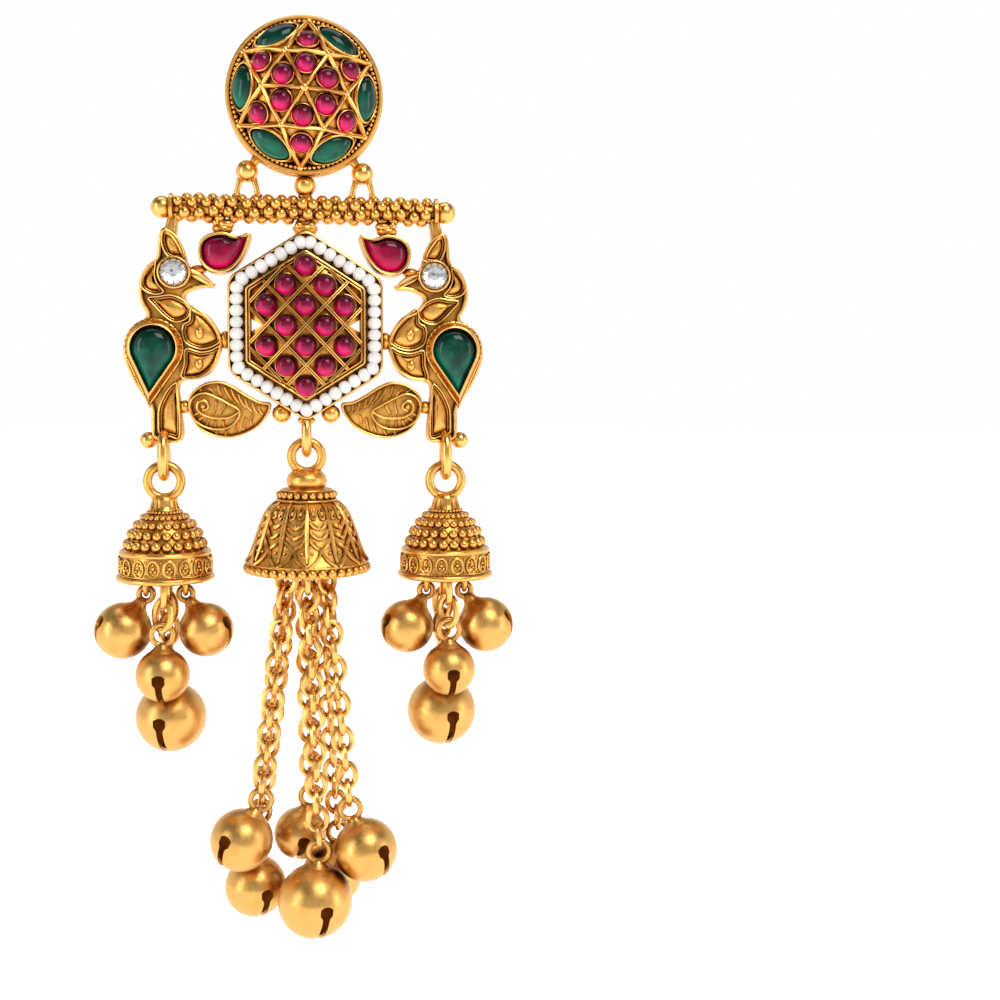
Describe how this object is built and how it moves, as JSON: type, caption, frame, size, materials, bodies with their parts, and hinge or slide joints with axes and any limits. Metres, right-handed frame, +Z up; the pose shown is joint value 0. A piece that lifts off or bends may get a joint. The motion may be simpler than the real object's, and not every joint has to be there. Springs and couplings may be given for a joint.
{
  "type": "jhumka earring",
  "caption": "Temple-style drop earring: round gem-set stud with screw post, peacock frame with a ruby hexagon, hanging bells and a chain tassel of slit ghungroo bells.",
  "frame": {"origin": "on the post's axis, at the rear face of the disc that lies against the ear lobe", "axes": "+Z up, the front faces -Y, the post runs along +Y, +X is the viewer's right"},
  "size_m": [0.038, 0.0222, 0.0828],
  "materials": {
    "antique_gold": "satin antique gold",
    "ruby": "polished ruby over foil",
    "emerald": "polished emerald over foil",
    "clear_stone": "faceted clear stone over foil",
    "pearl": "pearly"
  },
  "bodies": {
    "frame": {"gold_frame": "antique_gold", "stud_ruby_01": "ruby", "stud_ruby_02": "ruby", "stud_ruby_03": "ruby", "stud_ruby_04": "ruby", "stud_ruby_05": "ruby", "stud_ruby_06": "ruby", "stud_ruby_07": "ruby", "stud_ruby_08": "ruby", "stud_ruby_09": "ruby", "stud_ruby_10": "ruby", "stud_ruby_11": "ruby", "stud_ruby_12": "ruby", "stud_emerald_1": "emerald", "stud_emerald_2": "emerald", "stud_emerald_3": "emerald", "stud_emerald_4": "emerald", "stud_emerald_5": "emerald", "stud_emerald_6": "emerald", "hexagon_ruby_panel": "ruby", "pearl_string": "pearl", "left_clear_stone": "clear_stone", "left_emerald_drop": "emerald", "left_ruby_drop": "ruby", "right_clear_stone": "clear_stone", "right_emerald_drop": "emerald", "right_ruby_drop": "ruby"},
    "screw_nut": {"screw_nut": "antique_gold"},
    "left_jhumka": {"left_bell": "antique_gold", "left_outer_ghungroo": "antique_gold", "left_inner_ghungroo": "antique_gold", "left_front_ghungroo": "antique_gold", "left_front_chain": "antique_gold", "left_lower_ghungroo": "antique_gold", "left_lower_chain": "antique_gold"},
    "right_jhumka": {"right_bell": "antique_gold", "right_outer_ghungroo": "antique_gold", "right_inner_ghungroo": "antique_gold", "right_front_ghungroo": "antique_gold", "right_front_chain": "antique_gold", "right_lower_ghungroo": "antique_gold", "right_lower_chain": "antique_gold"},
    "centre_jhumka": {"centre_bell": "antique_gold", "tassel_ghungroo_1": "antique_gold", "tassel_chain_1": "antique_gold", "tassel_ghungroo_2": "antique_gold", "tassel_chain_2": "antique_gold", "tassel_ghungroo_3": "antique_gold", "tassel_chain_3": "antique_gold", "tassel_ghungroo_4": "antique_gold", "tassel_chain_4": "antique_gold", "tassel_ghungroo_5": "antique_gold", "tassel_chain_5": "antique_gold", "tassel_ghungroo_6": "antique_gold", "tassel_chain_6": "antique_gold"}
  },
  "joints": [
    {"name": "left_swing", "type": "hinge", "parent": "frame", "child": "left_jhumka", "pos_m": [-0.01265, -0.0028, -0.0331], "axis": [1, 0, 0], "range_deg": [-60, 60]},
    {"name": "right_swing", "type": "hinge", "parent": "frame", "child": "right_jhumka", "pos_m": [0.01265, -0.0028, -0.0331], "axis": [1, 0, 0], "range_deg": [-60, 60]},
    {"name": "centre_swing", "type": "hinge", "parent": "frame", "child": "centre_jhumka", "pos_m": [0, -0.0028, -0.031], "axis": [1, 0, 0], "range_deg": [-60, 60]},
    {"name": "nut_slide", "type": "slide", "parent": "frame", "child": "screw_nut", "axis": [0, 1, 0], "range_m": [-0.003, 0.0075]}
  ]
}
